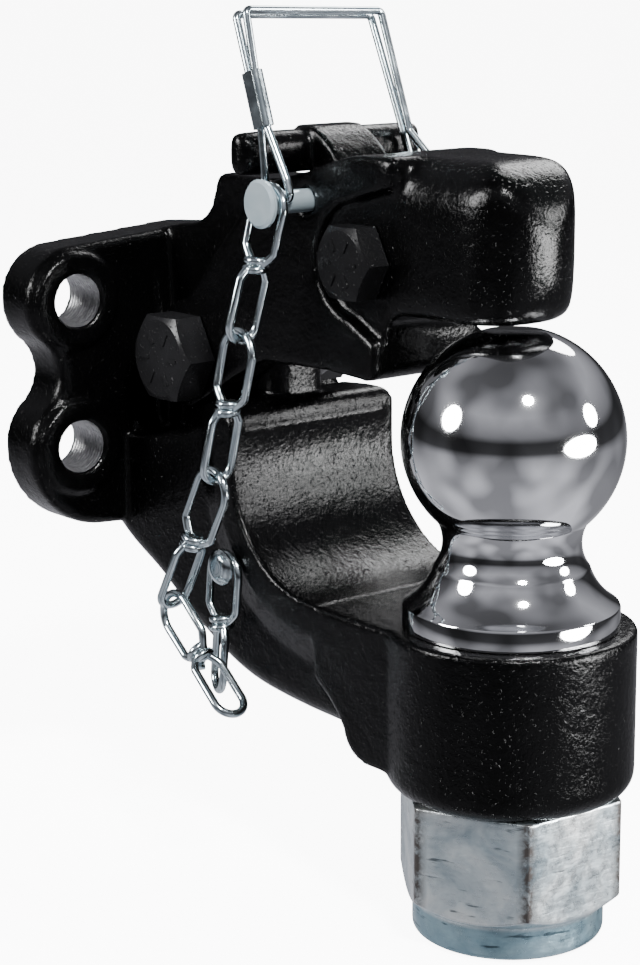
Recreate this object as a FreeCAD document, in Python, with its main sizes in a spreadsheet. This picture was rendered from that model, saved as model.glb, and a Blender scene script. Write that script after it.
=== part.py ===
import FreeCAD, Part
import math
import os

# Bolt-on combination hitch: pintle hook saddle with a ball and a hinged upper jaw.
# Millimetres. Origin at the centre of the four-bolt pattern on the rear mounting face.
# +X runs from the mounting face to the ball, +Z is up, -Y is the side of the bolt heads.

Vector = FreeCAD.Vector
Rotation = FreeCAD.Rotation
Placement = FreeCAD.Placement

doc = FreeCAD.newDocument("CombinationHitch")

DIMENSIONS = {
    "flangeThickness": 15.9,
    "flangeHoleY": 42.86,
    "flangeHoleZ": 21.43,
    "flangeHoleRadius": 7.64,
    "spotfaceRadius": 13.7,
    "spotfaceHeight": 1.8,
    "armHalfWidth": 26.0,
    "saddleHalfWidth": 30.0,
    "postHalfWidth": 9.5,
    "postTop": 58.0,
    "throatX": 105.5,
    "throatZ": -18.3,
    "throatRadius": 34.0,
    "rimThickness": 8.5,
    "bandOuterRadius": 52.5,
    "ballX": 153.6,
    "ballZ": -3.2,
    "ballRadius": 29.37,
    "neckRadius": 18.4,
    "collarRadius": 28.75,
    "bossRadius": 33.3,
    "bossTop": -52.9,
    "bossBottom": -97.5,
    "shankRadius": 15.88,
    "nutFlats": 54.75,
    "nutHeight": 30.0,
    "nutCollarRadius": 25.8,
    "jawPivotX": 38.3,
    "jawPivotZ": 6.1,
    "jawHalfWidth": 20.0,
    "noseHalfWidth": 17.0,
    "slotHalfWidth": 9.9,
    "slotSweepRadius": 60.0,
    "noseCentreX": 151.0,
    "pivotBoltRadius": 7.9,
    "bushWall": 1.6,
    "pivotHeadFlats": 23.8,
    "pivotHeadHeight": 10.0,
    "pivotBoltLength": 57.5,
    "pivotNutHeight": 13.0,
    "latchPivotX": 113.3,
    "latchPivotZ": 40.4,
    "latchBoltRadius": 6.35,
    "latchHeadFlats": 19.05,
    "latchHeadHeight": 8.0,
    "latchBoltLength": 48.5,
    "latchNutHeight": 10.5,
    "latchHalfWidth": 9.3,
    "handleHalfLength": 32.3,
    "pinX": 93.0,
    "pinZ": 55.0,
    "pinRadius": 3.175,
    "bailWire": 1.1,
    "chainWire": 1.15,
    "rivetX": 70.5,
    "rivetZ": -48.7,
    "rivetRadius": 2.5,
    "runningFit": 0.05,
}

sheet = doc.addObject("Spreadsheet::Sheet", "Dimensions")
for row, (alias, size) in enumerate(DIMENSIONS.items(), start=1):
    sheet.set(f"A{row}", alias)
    sheet.set(f"B{row}", str(size))
    sheet.setAlias(f"B{row}", alias)
doc.recompute()


def size_of(alias):
    return float(sheet.get(alias))


# ---------------------------------------------------------------- drawing helpers

NORMAL_SIGN = {"XY_Plane": 1.0, "XZ_Plane": -1.0, "YZ_Plane": 1.0}


def flat(point):
    return Vector(point[0], point[1], 0)


def draw(sketch, start, steps):
    """Adds a closed outline: a step is a point, a (middle, end) arc or a list for a smooth curve."""
    here = flat(start)
    for step in steps:
        if isinstance(step, list):
            through = [here] + [flat(point) for point in step]
            curve = Part.BSplineCurve()
            curve.interpolate(through)
            sketch.addGeometry(curve, False)
            end = through[-1]
        elif isinstance(step[0], tuple):
            middle, end = flat(step[0]), flat(step[1])
            sketch.addGeometry(Part.Arc(here, middle, end), False)
        else:
            end = flat(step)
            sketch.addGeometry(Part.LineSegment(here, end), False)
        here = end


def new_sketch(body, role, name):
    plane = [item for item in body.Origin.OriginFeatures if item.Role == role][0]
    sketch = body.newObject("Sketcher::SketchObject", name)
    sketch.AttachmentSupport = (plane, [""])
    sketch.MapMode = "FlatFace"
    return sketch


def prism(name, role, low, high, start, steps):
    """Pads an outline from low to high (both expressions) along the plane's own axis."""
    body = doc.addObject("PartDesign::Body", name)
    sketch = new_sketch(body, role, name + "Sketch")
    draw(sketch, start, steps)
    first = f"-({high})" if NORMAL_SIGN[role] < 0 else low
    sketch.setExpression("AttachmentOffset.Base.z", first)
    pad = body.newObject("PartDesign::Pad", name + "Pad")
    pad.Profile = sketch
    pad.setExpression("Length", f"({high}) - ({low})")
    return body


def centred_prism(name, half_width, start, steps):
    """A side outline (x, z) padded to half_width on both sides of the middle plane."""
    return prism(name, "XZ_Plane", f"-({half_width})", half_width, start, steps)


def lathe(name, start, steps):
    """Turns a half outline (radius, height) about the Z axis."""
    body = doc.addObject("PartDesign::Body", name)
    sketch = new_sketch(body, "XZ_Plane", name + "Sketch")
    draw(sketch, start, steps)
    turned = body.newObject("PartDesign::Revolution", name + "Turned")
    turned.Profile = sketch
    turned.ReferenceAxis = (sketch, ["V_Axis"])
    turned.Angle = 360
    return body


def cylinder(name, radius, height, base, axis):
    rod = doc.addObject("Part::Cylinder", name)
    rod.setExpression("Radius", radius)
    rod.setExpression("Height", height)
    rod.Placement = Placement(Vector(*base), Rotation(Vector(0, 0, 1), Vector(*axis)))
    return rod


def hexagon(name, flats, height):
    prism_object = doc.addObject("Part::Prism", name)
    prism_object.Polygon = 6
    prism_object.setExpression("Circumradius", f"({flats}) / sqrt(3)")
    prism_object.setExpression("Height", height)
    return prism_object


def fuse(name, parts):
    joined = doc.addObject("Part::MultiFuse", name)
    joined.Shapes = parts
    joined.Refine = True
    return joined


def cut(name, base, tools):
    tool = tools[0] if len(tools) == 1 else fuse(name + "Tools", tools)
    difference = doc.addObject("Part::Cut", name)
    difference.Base = base
    difference.Tool = tool
    difference.Refine = True
    return difference


def common(name, first, second):
    shared = doc.addObject("Part::Common", name)
    shared.Base = first
    shared.Tool = second
    return shared


def rounded(name, base, radius, chosen):
    """Rounds the edges of base that chosen(edge) accepts."""
    doc.recompute()
    numbers = [i for i, edge in enumerate(base.Shape.Edges, start=1) if chosen(edge)]
    fillet = doc.addObject("Part::Fillet", name)
    fillet.Base = base
    fillet.Edges = [(number, radius, radius) for number in numbers]
    doc.recompute()
    return fillet


def finish_piece(piece, label):
    piece.Label = label
    PIECES.append(piece)
    return piece


PIECES = []


# ---------------------------------------------------------------- hitch body

def tangent_point(point, centre, radius, side):
    """The point where the line from point touches a circle, on the chosen side (1 or -1)."""
    dy, dz = centre[0] - point[0], centre[1] - point[1]
    distance = math.hypot(dy, dz)
    angle = math.atan2(dz, dy) + side * math.acos(radius / distance) + math.pi
    return (centre[0] + radius * math.cos(angle), centre[1] + radius * math.sin(angle))


def on_circle(centre, radius, degrees):
    turn = math.radians(degrees)
    return (centre[0] + radius * math.cos(turn), centre[1] + radius * math.sin(turn))


def flange():
    """The mounting plate: four round lobes, a hollow on each side and a deeper lower edge."""
    hole_y, hole_z = size_of("flangeHoleY"), size_of("flangeHoleZ")
    lobe, waist = 15.6, 48.2
    hollow = ((waist - hole_y) ** 2 + hole_z ** 2 - lobe ** 2) / (2 * (lobe - waist + hole_y))
    reach = lobe + hollow
    dip = math.degrees(math.asin(hole_z / reach))
    lower, low_centre = 24.8, (hole_y + lobe - 24.8, -hole_z)
    top_touch = tangent_point((0, 40.5), (hole_y, hole_z), lobe, -1)
    low_touch = tangent_point((0, -48.8), low_centre, lower, 1)
    half = [
        top_touch,
        (on_circle((hole_y, hole_z), lobe, 30), on_circle((hole_y, hole_z), lobe, -dip)),
        ((waist, 0), on_circle((hole_y, -hole_z), lobe, dip)),
        (on_circle((hole_y, -hole_z), lobe, dip / 2), (hole_y + lobe, -hole_z)),
        (on_circle(low_centre, lower, -45), low_touch),
        (0, -48.8),
    ]
    outline = list(half)
    previous = (0, 40.5)
    back = []
    for step in half:
        if isinstance(step[0], tuple):
            back.append(((-step[0][0], step[0][1]), (-previous[0], previous[1])))
            previous = step[1]
        else:
            back.append((-previous[0], previous[1]))
            previous = step
    outline += reversed(back)
    plate = prism("FlangePlate", "YZ_Plane", "0", "Dimensions.flangeThickness", (0, 40.5), outline)
    front = size_of("flangeThickness")

    def on_front(edge):
        box = edge.BoundBox
        return abs(box.XMin - front) < 0.01 and abs(box.XMax - front) < 0.01

    return rounded("FlangeRounded", plate, 2.6, on_front)


def flange_holes():
    """The bolt pattern: spotfaces to add and through holes to cut, at the four corners."""
    faces, holes = [], []
    for side in (-1, 1):
        for level in (-1, 1):
            tag = f"{'L' if side < 0 else 'R'}{'B' if level < 0 else 'T'}"
            centre = (0, side * size_of("flangeHoleY"), level * size_of("flangeHoleZ"))
            start = (1, centre[1], centre[2])
            faces.append(cylinder("Spotface" + tag, "Dimensions.spotfaceRadius",
                                  "Dimensions.flangeThickness + Dimensions.spotfaceHeight - 1",
                                  start, (1, 0, 0)))
            holes.append(cylinder("FlangeHole" + tag, "Dimensions.flangeHoleRadius",
                                  "Dimensions.flangeThickness + 10", (-5, centre[1], centre[2]),
                                  (1, 0, 0)))
    return faces, holes


def arm():
    """The web that carries the saddle: a deep gusset under the throat."""
    web = centred_prism(
        "ArmWeb", "Dimensions.armHalfWidth", (3, -20),
        [(20, -20), (44, -15), (58, -9), (74, -10), (74, -30), ((83, -47), (100, -56)),
         (153.6, -56), (153.6, -88),
         [(123, -86.6), (100, -85.9), (86.5, -84.9), (73, -82.9), (61, -79), (50, -73.7), (40, -68.2),
          (30, -61.6), (21, -57), (13, -52.8), (3, -44)],
         (3, -20)])

    def lower_side(edge):
        box = edge.BoundBox
        return box.YLength < 0.01 and box.XLength > 100 and box.ZMax < -40
    return rounded("ArmRounded", web, 6.0, lower_side)


def saddle():
    """The throat's rim: a round trough with a flat margin and a sloped band outside it."""
    inner = size_of("throatRadius")
    rim = inner + size_of("rimThickness")
    outer = size_of("bandOuterRadius")
    wide = size_of("saddleHalfWidth")
    narrow = size_of("armHalfWidth")
    section = [(-rim, wide), (-outer, narrow), (-outer, -narrow), (-rim, -wide), (-inner, -wide)]
    start = (-inner, wide)
    wall = prism("ThroatWall", "XY_Plane", "0", "14", start, section + [start])
    wall.Placement = Placement(Vector(size_of("throatX"), 0, size_of("throatZ")), Rotation())

    trough = doc.addObject("PartDesign::Body", "ThroatTrough")
    sketch = new_sketch(trough, "XY_Plane", "ThroatTroughSketch")
    draw(sketch, start, section + [start])
    sweep = trough.newObject("PartDesign::Revolution", "ThroatTroughTurned")
    sweep.Profile = sketch
    sweep.ReferenceAxis = (sketch, ["V_Axis"])
    sweep.Angle = 94
    sweep.Reversed = True
    trough.Placement = Placement(Vector(size_of("throatX"), 0, size_of("throatZ")), Rotation())

    def wall_top(edge):
        box = edge.BoundBox
        top = size_of("throatZ") + 14
        return abs(box.ZMin - top) < 0.01 and abs(box.ZMax - top) < 0.01
    return rounded("ThroatWallRounded", wall, 4.0, wall_top), trough


def boss_block():
    """The full-width block between the throat and the round ball boss."""
    return centred_prism(
        "BossBlock", "Dimensions.saddleHalfWidth", (105.5, -52.4),
        [(110, -52.9), (153.6, -52.9), (153.6, -92), (130, -92),
         ((123.5, -89.8), (119.7, -83.5)), ((114.4, -77.6), (107.4, -72.6)),
         (107.4, -60.8), (105.5, -60.8), (105.5, -52.4)])


def boss():
    base = cylinder("BallBoss", "Dimensions.bossRadius", "Dimensions.bossTop - Dimensions.bossBottom",
                    (size_of("ballX"), 0, size_of("bossBottom")), (0, 0, 1))

    def bottom(edge):
        return edge.BoundBox.ZMax < size_of("bossBottom") + 0.01
    return rounded("BallBossRounded", base, 6.0, bottom)


def post():
    """The upright between the jaw's two cheeks; its front face is rounded."""
    upright = centred_prism(
        "PostUpright", "Dimensions.postHalfWidth", (3, 39.6),
        [(14, 40.4), (24, 42.4), ((33, 44.8), (36.8, 48.6)), (38.6, 53.6), ((40.1, 56.6), (43.2, 58)),
         (67, 58), (67, -14), (3, -24), (3, 39.6)])

    def front_edge(edge):
        box = edge.BoundBox
        return abs(box.XMin - 67) < 0.01 and abs(box.XMax - 67) < 0.01 and box.ZLength > 40
    return rounded("PostRounded", upright, 6.0, front_edge)


def post_root():
    """The flared fillet where the post and the ledge run into the flange."""
    return centred_prism(
        "PostRoot", "Dimensions.postHalfWidth + 5", (3, 34),
        [(16, 34), ((17.2, 20), (21, 0)), (21, -24), (3, -24), (3, 34)])


def ledge():
    """The shelf on top of the arm in front of the flange."""
    return centred_prism(
        "ArmLedge", "Dimensions.armHalfWidth - 3", (3, -14),
        [(16, -14), ((17.8, -18), (22, -19.4)), (44, -14.4), (44, -30), (3, -30), (3, -14)])


def rivet_hole():
    return cylinder("RivetHole", "Dimensions.rivetRadius", "30",
                    (size_of("rivetX"), 0, size_of("rivetZ")), (0, -1, 0))


def hitch_body():
    faces, holes = flange_holes()
    wall, trough = saddle()
    solid = fuse("BodyForging", [flange(), arm(), wall, trough, boss_block(), boss(), post(),
                                 post_root(), ledge()] + faces)
    pivot = (size_of("jawPivotX"), 40, size_of("jawPivotZ"))
    pivot_bore = cylinder("PostBore", "Dimensions.pivotBoltRadius + Dimensions.bushWall", "80",
                          pivot, (0, -1, 0))
    ball_bore = cylinder("BallBore", "Dimensions.shankRadius + Dimensions.runningFit", "80",
                         (size_of("ballX"), 0, -120), (0, 0, 1))
    throat = cylinder("ThroatBore", "Dimensions.throatRadius", "80",
                      (size_of("throatX"), 40, size_of("throatZ")), (0, -1, 0))
    return finish_piece(cut("HitchBody", solid, holes + [pivot_bore, ball_bore, throat,
                                                         rivet_hole()]), "hitch_body")


# ---------------------------------------------------------------- upper jaw

def jaw_cheeks():
    """Both side plates as one outline, eye at the rear, stepping to the nose at the front."""
    return centred_prism(
        "JawCheeks", "Dimensions.jawHalfWidth", (38.3, -9.9),
        [((22.4, 4.6), (35.2, 21.8)), ((37.2, 22.4), (39, 24.2)), (59, 44.2),
         (68.8, 55.6), ((70.6, 57.2), (73, 58)), (92.5, 62.6), (104, 66.2),
         ((110, 67.7), (118, 68.4)), (129, 68.9), (128.6, 64), (127.2, 60.6),
         (110.8, 56.2), ((97.2, 40.4), (110.7, 24.8)), (121, 19.3), (121.4, 14),
         ((120.2, 10.4), (116, 9)), (101.5, 9.8), (79.7, 8.8), ((73, 8.2), (67.5, 5.8)),
         (56.5, 0.2), ((49.2, -4.2), (38.3, -9.9))])


def jaw_nose():
    """The hook over the ball: rounded in side view and half-round in plan."""
    side = centred_prism(
        "NoseSide", "Dimensions.noseHalfWidth", (90, 9.8),
        [(116, 9.2), ((120.4, 10.5), (121.4, 14)), (122, 20), ((123.2, 25), (128, 27)),
         (160, 27), ((165.7, 29.3), (168, 35)), (168, 50),
         ((162.6, 63.2), (149.5, 69)), (118, 68.8), (104, 66.8), (90, 62.5), (90, 9.8)])
    centre = size_of("noseCentreX")
    wide = size_of("noseHalfWidth")
    plan = prism("NosePlan", "XY_Plane", "0", "80", (80, -wide),
                 [(centre, -wide), ((centre + wide, 0), (centre, wide)), (80, wide), (80, -wide)])
    section = prism("NoseSection", "YZ_Plane", "80", "180", (-wide, 0),
                    [(wide, 0), (wide, 56), ((wide - 3.8, 65.2), (wide - 13, 69)),
                     (13 - wide, 69), ((3.8 - wide, 65.2), (-wide, 56)), (-wide, 0)])
    return common("NoseBlock", common("NoseInPlan", side, plan), section)


def jaw_slot():
    """The space between the cheeks: the post's sweep below, the latch's pocket above."""
    half = "Dimensions.slotHalfWidth"
    pivot = (size_of("jawPivotX"), size_of("jawPivotZ"))
    low, mid, top = (on_circle(pivot, size_of("slotSweepRadius"), turn) for turn in (-14, 4, 19))
    return centred_prism("JawSlot", half, (0, -30),
                         [(low[0], -30), low, (mid, top), (112, 27.2),
                          ((122.4, 32), (126, 41)), ((124, 50.6), (118.6, 56.2)), (113.2, 62.4),
                          (113.2, 90), (0, 90), (0, -30)])


def upper_jaw():
    boss_disc = cylinder("PivotBossDisc", "14", "2 * Dimensions.jawHalfWidth",
                         (size_of("jawPivotX"), size_of("jawHalfWidth"), size_of("jawPivotZ")),
                         (0, -1, 0))
    solid = fuse("JawForging", [jaw_cheeks(), jaw_nose(), boss_disc])
    pivot = cylinder("JawPivotBore", "Dimensions.pivotBoltRadius + Dimensions.runningFit", "80",
                     (size_of("jawPivotX"), 40, size_of("jawPivotZ")), (0, -1, 0))
    latch = cylinder("LatchPivotBore", "Dimensions.latchBoltRadius + Dimensions.runningFit", "80",
                     (size_of("latchPivotX"), 40, size_of("latchPivotZ")), (0, -1, 0))
    pin = cylinder("PinBore", "Dimensions.pinRadius + 0.35", "80",
                   (size_of("pinX"), 40, size_of("pinZ")), (0, -1, 0))
    return finish_piece(cut("UpperJaw", solid, [jaw_slot(), pivot, latch, pin]), "upper_jaw")


# ---------------------------------------------------------------- latch

def latch_slot():
    """A curved slot about the latch's own pivot, so that the latch can lift with the pin in."""
    px, pz = size_of("latchPivotX"), size_of("latchPivotZ")
    reach = math.hypot(size_of("pinX") - px, size_of("pinZ") - pz)
    rest = math.degrees(math.atan2(size_of("pinZ") - pz, size_of("pinX") - px))
    half = size_of("pinRadius") + 0.5
    swing = 24

    def at(radius, angle):
        turn = math.radians(angle)
        return (px + radius * math.cos(turn), pz + radius * math.sin(turn))
    end_turn = math.degrees(half / reach)
    return centred_prism(
        "LatchPinSlot", "20", at(reach - half, rest),
        [(at(reach - half, rest + swing / 2), at(reach - half, rest + swing)),
         (at(reach, rest + swing + end_turn), at(reach + half, rest + swing)),
         (at(reach + half, rest + swing / 2), at(reach + half, rest)),
         (at(reach, rest - end_turn), at(reach - half, rest))])


def latch():
    """The locking lever: hub on the upper bolt, dog over the post, and a T handle behind."""
    blade = centred_prism(
        "LatchBlade", "Dimensions.latchHalfWidth", (74, 62.6),
        [(79, 61.6), ((84.4, 60), (85.6, 56)), (85.6, 44.8), ((87, 42), (90, 41.2)),
         (104.6, 40.4), ((107, 33.6), (113.3, 31.2)), ((122.2, 40.4), (113.3, 49.6)),
         (103.4, 59.6), (94.0, 64.6), ((87.5, 70.6), (81.4, 73.6)), (75.6, 73.6), (74, 71),
         (74, 62.6)])
    bar = prism("LatchHandle", "XZ_Plane", "-Dimensions.handleHalfLength",
                "Dimensions.handleHalfLength", (73.2, 66.9),
                [((74.4, 62.4), (77.4, 61.0)), (79.4, 61.0), ((81.9, 62.9), (82.8, 66.6)),
                 ((81.8, 70.8), (79, 72.6)), (77, 72.6), ((74.2, 71.0), (73.2, 66.9))])
    end_round = prism("HandlePlan", "XY_Plane", "50", "80", (73, -26.5),
                      [((78, -32.3), (83, -26.5)), (83, 26.5), ((78, 32.3), (73, 26.5)),
                       (73, -26.5)])
    handle = common("LatchHandleRounded", bar, end_round)
    solid = fuse("LatchSolid", [blade, handle])
    px, pz = size_of("latchPivotX"), size_of("latchPivotZ")
    bore = cylinder("LatchBore", "Dimensions.latchBoltRadius + Dimensions.runningFit", "40",
                    (px, 20, pz), (0, -1, 0))
    spring_room = cylinder("SpringRoom", "10.5", "6.2", (px, 9.8, pz), (0, -1, 0))
    return finish_piece(cut("Latch", solid, [bore, spring_room, latch_slot()]), "latch")


def latch_spring():
    """The torsion spring round the upper bolt, in the recess of the latch hub."""
    px, pz = size_of("latchPivotX"), size_of("latchPivotZ")
    wire, coil, turns = 0.8, 8.1, 2.5
    pitch = 1.75
    helix = Part.makeHelix(pitch, pitch * turns, coil)
    section = Part.Wire(Part.makeCircle(wire, Vector(coil, 0, 0), Vector(0, 1, 0)))
    spring = Part.Wire(helix).makePipeShell([section], True, True)
    piece = doc.addObject("Part::Feature", "LatchSpring")
    piece.Shape = spring
    piece.Placement = Placement(Vector(px, 8.9, pz), Rotation(Vector(1, 0, 0), 90))
    return finish_piece(piece, "latch_spring")


# ---------------------------------------------------------------- fasteners

THREAD_FIT = 0.02
MARK_COUNT = 6


def radial_marks(name, flats, height):
    """Plain raised bars round the top of a bolt head."""
    bars = []
    for number in range(MARK_COUNT):
        bar = doc.addObject("Part::Box", f"{name}Mark{number}")
        bar.setExpression("Length", f"({flats}) * 0.17")
        bar.Width = 1.0
        bar.Height = 1.0
        turn = Rotation(Vector(0, 0, 1), 360 / MARK_COUNT * number)
        start = turn.multVec(Vector(flats_value(flats) * 0.19, -0.5, 0))
        bar.Placement = Placement(start + Vector(0, 0, height - 0.6), turn)
        bars.append(bar)
    return bars


def flats_value(expression):
    return size_of(expression.split(".")[1])


def hex_bolt(label, flats, head_height, radius, length, place):
    """A hex bolt with a chamfered head, built head up and shank down, then placed."""
    name = label.title().replace("_", "")
    across = flats_value(flats)
    tall = flats_value(head_height)
    prism_object = hexagon(name + "Hex", flats, head_height)
    corner = across / math.sqrt(3)
    cone = lathe(name + "Crown", (0, 0),
                 [(corner + 1, 0), (corner + 1, tall - 1.9), (across / 2 - 0.8, tall),
                  (0, tall), (0, 0)])
    head = common(name + "Head", prism_object, cone)
    shank = lathe(name + "Shank", (0, 1),
                  [(flats_value(radius), 1), (flats_value(radius), -length + 1.2),
                   (flats_value(radius) - 1.2, -length), (0, -length), (0, 1)])
    bolt = fuse(name, [head, shank] + radial_marks(name, flats, tall))
    bolt.Placement = place
    return finish_piece(bolt, label)


def hex_nut(label, across, height, bore, place):
    """A lock nut: hex below, a low round collar above."""
    name = label.title().replace("_", "")
    corner = across / math.sqrt(3)
    body = hexagon(name + "Hex", str(across), str(height))
    crown = lathe(name + "Crown", (0, 0),
                  [(across / 2 - 0.6, 0), (corner + 1, 1.8), (corner + 1, height - 1.8),
                   (across / 2 - 0.6, height), (0, height), (0, 0)])
    trimmed = common(name + "Trimmed", body, crown)
    collar = cylinder(name + "Collar", str(across / 2 - 1.4), "3", (0, 0, height - 0.5), (0, 0, 1))
    hole = cylinder(name + "Bore", str(bore), str(height + 10), (0, 0, -2), (0, 0, 1))
    nut = cut(name, fuse(name + "Solid", [trimmed, collar]), [hole])
    nut.Placement = place
    return finish_piece(nut, label)


def side_place(x, y, z, towards):
    """A placement that turns +Z to the -Y side (towards -1) or the +Y side (towards 1)."""
    return Placement(Vector(x, y, z), Rotation(Vector(1, 0, 0), -90 * towards))


def pivot_fasteners():
    x, z = size_of("jawPivotX"), size_of("jawPivotZ")
    washer_gap = 0.3
    side = size_of("jawHalfWidth") + washer_gap
    hex_bolt("jaw_pivot_bolt", "Dimensions.pivotHeadFlats", "Dimensions.pivotHeadHeight",
             "Dimensions.pivotBoltRadius", size_of("pivotBoltLength"),
             side_place(x, -side, z, -1))
    hex_nut("jaw_pivot_nut", size_of("pivotHeadFlats"), size_of("pivotNutHeight"),
            size_of("pivotBoltRadius") + THREAD_FIT, side_place(x, side, z, 1))
    width = 2 * size_of("postHalfWidth")
    outer = cylinder("BushOuter",
                     f"Dimensions.pivotBoltRadius + Dimensions.bushWall - {THREAD_FIT}",
                     str(width), (x, width / 2, z), (0, -1, 0))
    inner = cylinder("BushInner", "Dimensions.pivotBoltRadius + Dimensions.runningFit",
                     str(width + 4), (x, width / 2 + 2, z), (0, -1, 0))
    finish_piece(cut("PivotBushing", outer, [inner]), "jaw_pivot_bushing")

    x, z = size_of("latchPivotX"), size_of("latchPivotZ")
    side = size_of("noseHalfWidth") + washer_gap
    hex_bolt("latch_pivot_bolt", "Dimensions.latchHeadFlats", "Dimensions.latchHeadHeight",
             "Dimensions.latchBoltRadius", size_of("latchBoltLength"),
             side_place(x, -side, z, -1))
    hex_nut("latch_pivot_nut", size_of("latchHeadFlats"), size_of("latchNutHeight"),
            size_of("latchBoltRadius") + THREAD_FIT, side_place(x, side, z, 1))


# ---------------------------------------------------------------- ball and its nut

def hitch_ball():
    """Ball, waisted neck, collar and shank, turned as one piece."""
    ball_z = size_of("ballZ")
    radius = size_of("ballRadius")
    neck = size_of("neckRadius")
    collar = size_of("collarRadius")
    shank = size_of("shankRadius")
    floor = size_of("bossTop")
    join_z = ball_z - math.sqrt(radius ** 2 - (neck + 1.4) ** 2)
    diagonal = radius * math.sqrt(0.5)
    body = lathe("HitchBall", (0, ball_z + radius - 1.1),
                 [(7.9, ball_z + radius - 1.1),
                  ((diagonal + 5.6, ball_z + math.sqrt(radius ** 2 - (diagonal + 5.6) ** 2)),
                   (neck + 1.4, join_z)),
                  ((neck, join_z - 4.4), (neck + 2.2, -37)),
                  ((neck + 5.2, -42.6), (collar - 0.8, -46.6)), (collar, -47.6),
                  (collar, floor), (shank, floor), (shank, -134.6), (shank - 1.6, -136.2),
                  (0, -136.2), (0, ball_z + radius - 1.1)])
    body.Placement = Placement(Vector(size_of("ballX"), 0, 0), Rotation())
    return finish_piece(body, "hitch_ball")


def ball_nut():
    across = size_of("nutFlats")
    corner = across / math.sqrt(3)
    height = size_of("nutHeight")
    top = size_of("bossBottom")
    hexa = hexagon("BallNutHex", "Dimensions.nutFlats", "Dimensions.nutHeight")
    crown = lathe("BallNutCrown", (0, 0),
                  [(across / 2 - 0.6, 0), (corner + 1, 4.4), (corner + 1, height),
                   (0, height), (0, 0)])
    trimmed = common("BallNutTrimmed", hexa, crown)
    wide = size_of("nutCollarRadius")
    collar = lathe("BallNutCollar", (0, -9.9),
                   [(wide - 2.2, -9.9), ((wide - 0.6, -9.3), (wide, -7.6)), (wide, 2), (0, 2),
                    (0, -9.9)])
    bore = cylinder("BallNutBore", f"Dimensions.shankRadius + {THREAD_FIT}", "60",
                    (0, 0, -20), (0, 0, 1))
    seat = cylinder("InsertSeat", "21", "5.4", (0, 0, -7.4), (0, 0, 1))
    nut = cut("BallNut", fuse("BallNutSolid", [trimmed, collar]), [bore, seat])
    nut.Placement = Placement(Vector(size_of("ballX"), 0, top - height),
                              Rotation(Vector(0, 0, 1), 25.9))
    finish_piece(nut, "ball_nut")

    ring = cylinder("InsertRing", "20.95", "5.2", (0, 0, -7.3), (0, 0, 1))
    ring_bore = cylinder("InsertBore", f"Dimensions.shankRadius + {THREAD_FIT}", "20",
                         (0, 0, -12), (0, 0, 1))
    insert = cut("BallNutInsert", ring, [ring_bore])
    insert.Placement = Placement(Vector(size_of("ballX"), 0, top - height), Rotation())
    finish_piece(insert, "ball_nut_insert")


# ---------------------------------------------------------------- lock pin and bail

PIN_HEAD_Y = -36.2
PIN_TIP_Y = 30.0
BAIL_NEAR_Y = -28.6
BAIL_FAR_Y = 21.8
BAIL_LEAN = 17.3


def lock_pin():
    """The quick-release pin: disc head, straight shank, cross hole and rounded tip."""
    radius = size_of("pinRadius")
    body = lathe("LockPinTurned", (0, 0),
                 [(5.7, 0), (6.5, 0.7), (6.5, 1.6), (5.9, 2.2), (radius, 2.2),
                  (radius, PIN_TIP_Y - PIN_HEAD_Y - 2.5), (radius - 1.6, PIN_TIP_Y - PIN_HEAD_Y),
                  (0, PIN_TIP_Y - PIN_HEAD_Y), (0, 0)])
    hole = cylinder("PinCrossHole", "Dimensions.bailWire + 0.15", "20",
                    (-10, 0, BAIL_NEAR_Y - PIN_HEAD_Y), (1, 0, 0))
    pin = cut("LockPin", body, [hole])
    lying = Placement(Vector(0, PIN_HEAD_Y, 0), Rotation(Vector(1, 0, 0), -90))
    pin.Placement = bail_place().multiply(lying)
    return finish_piece(pin, "lock_pin")


def tube_along(points, radius, bend):
    """A round wire along straight runs joined by arcs of the bend radius."""
    edges = []
    here = points[0]
    for before, corner, after in zip(points, points[1:], points[2:]):
        into = (corner - before).normalize()
        out = (after - corner).normalize()
        turn = into.getAngle(out)
        trim = bend * math.tan(turn / 2)
        start = corner - into * trim
        end = corner + out * trim
        inward = (out - into).normalize()
        middle = corner + inward * (bend / math.cos(turn / 2) - bend)
        edges.append(Part.LineSegment(here, start).toShape())
        edges.append(Part.Arc(start, middle, end).toShape())
        here = end
    edges.append(Part.LineSegment(here, points[-1]).toShape())
    path = Part.Wire(edges)
    direction = points[1] - points[0]
    section = Part.Wire(Part.makeCircle(radius, points[0], direction))
    return path.makePipeShell([section], True, True)


def pin_bail():
    """The spring-wire bail: one wire doubled, both ends in the pin, far end round its tip."""
    wire = size_of("bailWire")
    reach = size_of("pinRadius") + 1.9
    pair, wide_pair, top = 1.42, 2.3, 51.6
    top_skew, low_skew = -4.4, -1.8
    near, far = BAIL_NEAR_Y, BAIL_FAR_Y
    runs = []
    for side in (-1, 1):
        points = [Vector(side * 1.5, near, 0), Vector(side * reach, near, 0),
                  Vector(side * (reach - 0.4), near, 5), Vector(side * pair, near - 0.4, 19.8),
                  Vector(side * pair, near - 0.8, 35.8), Vector(side * wide_pair, near - 0.6, top),
                  Vector(top_skew + side * wide_pair, far - 0.4, top),
                  Vector(low_skew + side * 1.25, far, 17), Vector(side * 4.6, far + 2.4, 6.5),
                  Vector(side * 4.6, far + 2.4, 0)]
        runs.append(tube_along(points, wire, 1.5))
    middle = far + 2.4
    arc = Part.Arc(Vector(-4.6, middle, 0), Vector(0, middle, -4.6),
                   Vector(4.6, middle, 0)).toShape()
    section = Part.Wire(Part.makeCircle(wire, Vector(-4.6, middle, 0), Vector(0, 0, 1)))
    hook = Part.Wire(arc).makePipeShell([section], True, True)
    piece = doc.addObject("Part::Feature", "PinBail")
    piece.Shape = runs[0].fuse([runs[1], hook]).removeSplitter()
    piece.Placement = bail_place()
    return finish_piece(piece, "pin_bail")


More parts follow.
